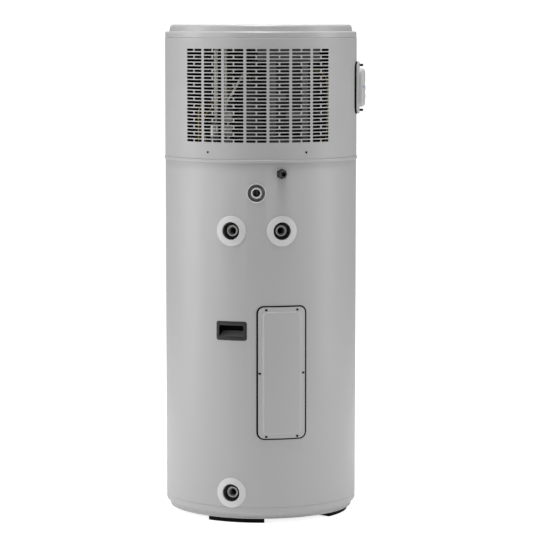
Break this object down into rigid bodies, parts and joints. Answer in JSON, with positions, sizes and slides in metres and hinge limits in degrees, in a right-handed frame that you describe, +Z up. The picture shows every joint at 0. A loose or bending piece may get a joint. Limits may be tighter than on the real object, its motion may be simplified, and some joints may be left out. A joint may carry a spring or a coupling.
{
  "type": "heat pump water heater",
  "caption": "Floor-standing cylindrical tank water heater with a slotted hood, recessed pipe ports, a screwed access cover and a side control pod.",
  "frame": {"origin": "on the casing's axis at floor level", "axes": "+Z up, -Y the service side with the water ports and grille, +X the side with the control pod"},
  "size_m": [0.6841, 0.6787, 1.66],
  "materials": {
    "casing_paint": "satin, very fine texture",
    "hood_plastic": "satin moulded",
    "lid_plastic": "satin moulded",
    "collar_plastic": "smooth moulded",
    "pod_plastic": "smooth moulded",
    "black_plastic": "fine grain",
    "black_rubber": "matte",
    "grey_rubber": "matte",
    "zinc_steel": "zinc plated",
    "socket_steel": "machined",
    "enamel": "vitreous enamel",
    "foam": "polyurethane foam",
    "copper": "drawn copper",
    "coated_fins": "black corrosion coat on fin stock",
    "magnesium": "cast",
    "compressor_paint": "semi-gloss black",
    "frame_steel": "grey coated sheet",
    "tray_plastic": "moulded",
    "deck_steel": "galvanised",
    "insulated_pipe": "pipe insulation",
    "gasket_fibre": "fibre",
    "wire": "PVC sheath",
    "circuit_board": "solder mask",
    "display_glass": "tinted window",
    "blue_button": "translucent",
    "grey_button": "smooth",
    "ceramic": "moulded phenolic"
  },
  "bodies": {
    "heater": {"feet": "black_rubber", "foot_bolts": "zinc_steel", "base_pan": "casing_paint", "outer_casing": "casing_paint", "insulation_jacket": "foam", "tank_shell": "enamel", "cold_inlet_socket": "socket_steel", "hot_outlet_socket": "socket_steel", "relief_valve_socket": "socket_steel", "cold_inlet_collar": "collar_plastic", "hot_outlet_collar": "collar_plastic", "relief_valve_collar": "collar_plastic", "drain_trim_ring": "collar_plastic", "drain_grommet": "grey_rubber", "condensate_outlet_tube": "collar_plastic", "cable_gland_body": "black_plastic", "cable_gland_nut": "black_plastic", "cable_gland_locknut": "black_plastic", "handle_recess_rear": "black_plastic", "handle_recess_front": "black_plastic", "access_gasket": "black_rubber", "access_cover": "casing_paint", "access_screws": "black_plastic", "element_flange": "zinc_steel", "element_gasket": "gasket_fibre", "element_bolts": "zinc_steel", "heating_element": "copper", "safety_thermostat": "ceramic", "magnesium_anode": "magnesium", "condenser_coil": "copper", "seam_ring": "hood_plastic", "condensate_tray": "tray_plastic", "deck_plate": "deck_steel", "hood_rear": "hood_plastic", "hood_front": "hood_plastic", "hood_screws": "black_plastic", "top_lid": "lid_plastic", "compressor": "compressor_paint", "compressor_grommets": "black_rubber", "accumulator": "compressor_paint", "filter_drier": "zinc_steel", "expansion_valve": "zinc_steel", "refrigerant_pipes": "insulated_pipe", "evaporator_fins": "coated_fins", "evaporator_tubes": "copper", "fan_shroud": "black_plastic", "fan_motor": "compressor_paint", "bracket_frame": "frame_steel", "electronics_box": "black_plastic", "wire_loom": "wire", "pod_gasket": "black_rubber", "pod_housing": "pod_plastic", "pod_screws": "black_plastic", "display_lens": "display_glass", "pod_circuit_board": "circuit_board"},
    "fan": {"fan_impeller": "black_plastic", "fan_shaft": "zinc_steel"},
    "power_button": {"button_power": "blue_button"},
    "up_button": {"button_up": "grey_button"},
    "down_button": {"button_down": "grey_button"}
  },
  "joints": [
    {"name": "fan_spin", "type": "hinge", "parent": "heater", "child": "fan", "pos_m": [0, 0.13, 1.412], "axis": [0, 1, 0], "continuous": true},
    {"name": "power_press", "type": "slide", "parent": "heater", "child": "power_button", "axis": [-1, 0, 0], "range_m": [0, 0.0012], "stiffness_N_per_m": 1200},
    {"name": "up_press", "type": "slide", "parent": "heater", "child": "up_button", "axis": [-1, 0, 0], "range_m": [0, 0.0012], "stiffness_N_per_m": 1200},
    {"name": "down_press", "type": "slide", "parent": "heater", "child": "down_button", "axis": [-1, 0, 0], "range_m": [0, 0.0012], "stiffness_N_per_m": 1200}
  ]
}
